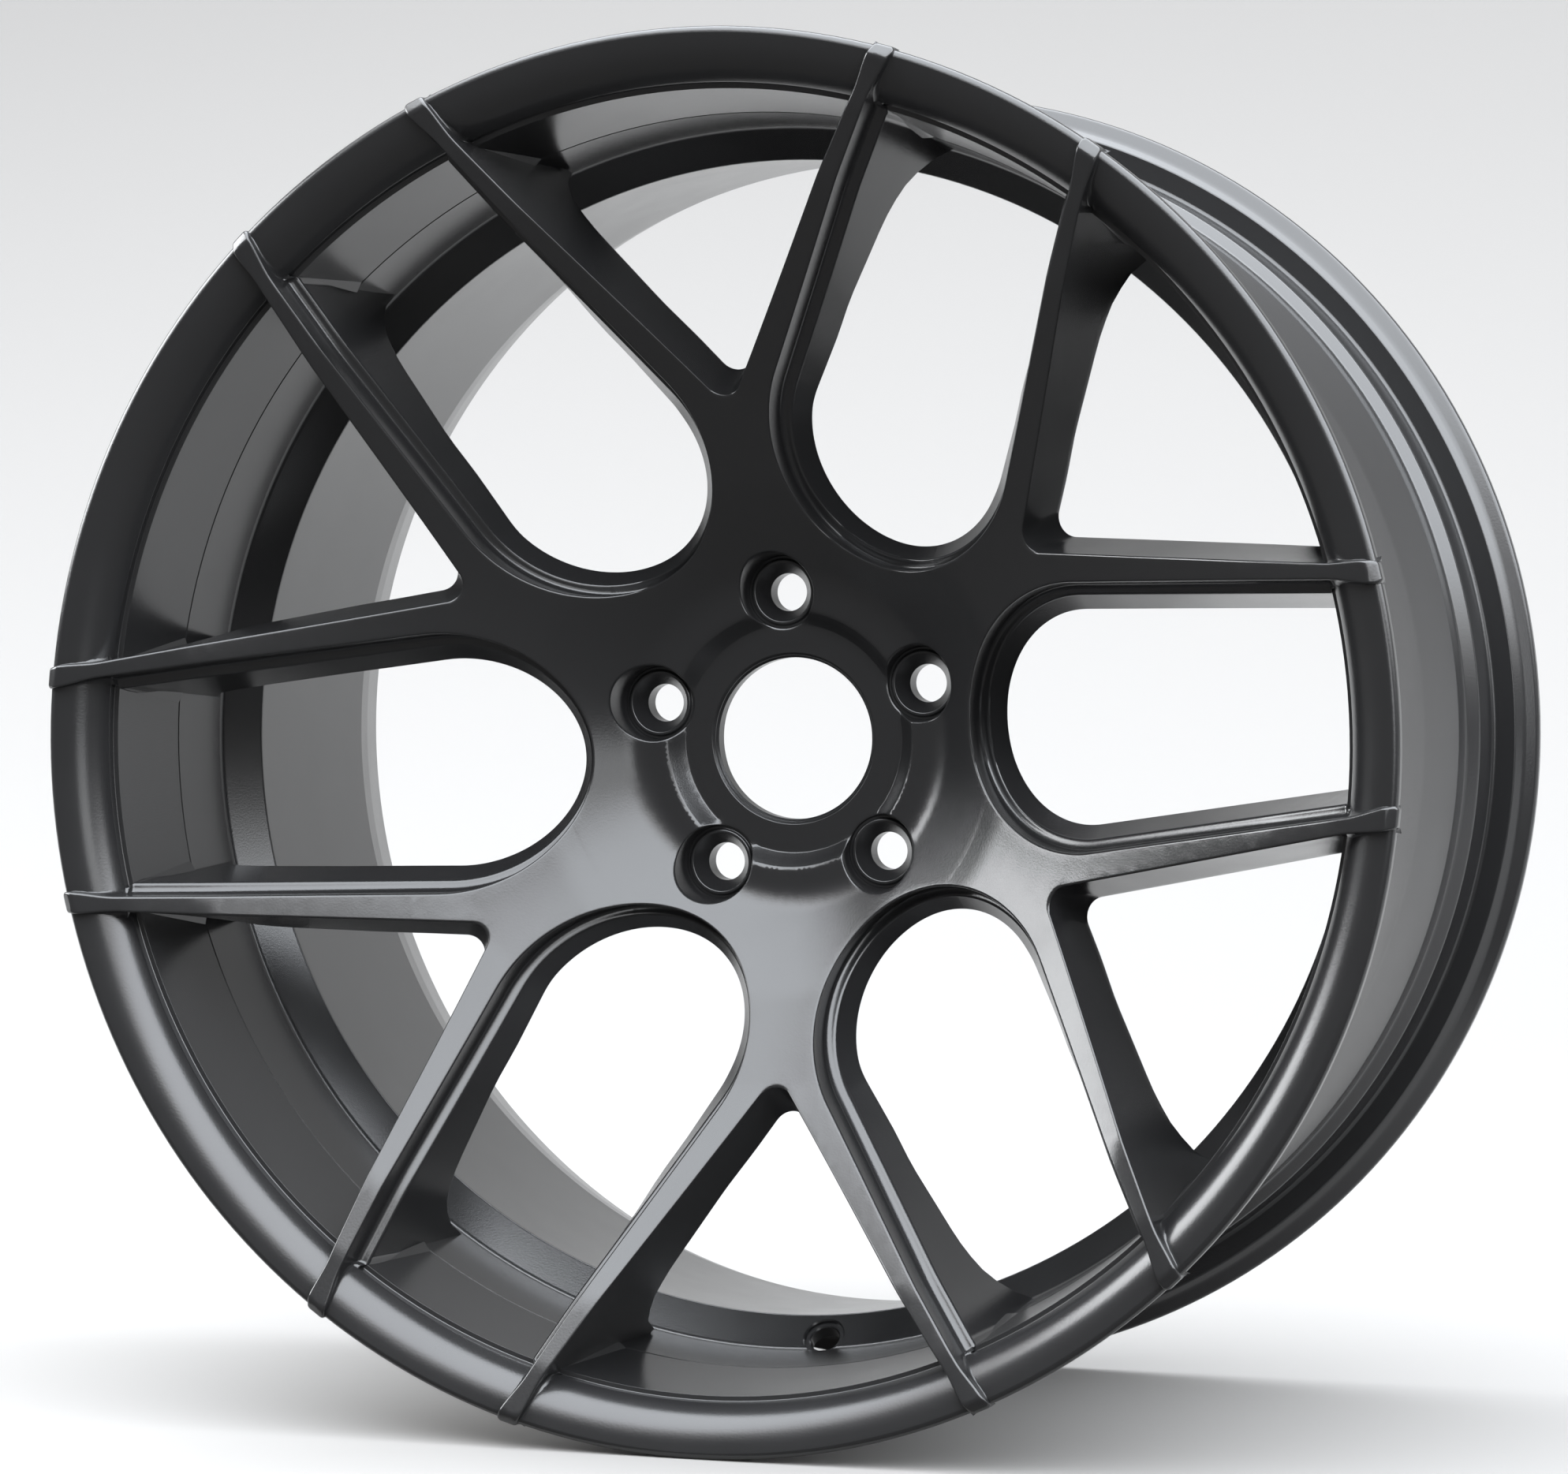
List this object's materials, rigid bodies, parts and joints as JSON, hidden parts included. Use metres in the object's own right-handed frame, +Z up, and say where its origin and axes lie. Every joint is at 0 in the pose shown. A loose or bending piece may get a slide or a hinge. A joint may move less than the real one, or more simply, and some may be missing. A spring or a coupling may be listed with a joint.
{
  "type": "forged wheel rim",
  "caption": "Deep-dish forged car wheel rim with Y-shaped spokes, a ring of cone-seat lug holes, an open hub bore and a drop-centre barrel for a tubeless tyre.",
  "frame": {"origin": "centre of the hub bore on the rear mounting face", "axes": "the axle is the Y axis and the street side of the wheel faces -Y, so the wheel stands on its tread with +Z up; +Y points out of the mounting face towards the car, +X is to the right seen from the street side"},
  "size_m": [0.5176, 0.2693, 0.5176],
  "materials": {
    "satin_black": "satin black powder coat over forged aluminium",
    "machined_black": "flat black thin coat over the turned mounting face"
  },
  "bodies": {
    "root": {"hub": "satin_black", "mounting_pad": "machined_black", "cap_seat_ring": "satin_black", "lug_seat_1": "satin_black", "lug_seat_2": "satin_black", "lug_seat_3": "satin_black", "lug_seat_4": "satin_black", "lug_seat_5": "satin_black", "y_spoke_1": "satin_black", "y_spoke_2": "satin_black", "y_spoke_3": "satin_black", "y_spoke_4": "satin_black", "y_spoke_5": "satin_black", "y_spoke_6": "satin_black", "front_lip": "satin_black", "front_bead_seat": "satin_black", "front_ledge": "satin_black", "drop_centre": "satin_black", "rear_barrel": "satin_black", "rear_bead_seat": "satin_black", "rear_flange": "satin_black"}
  },
  "joints": []
}
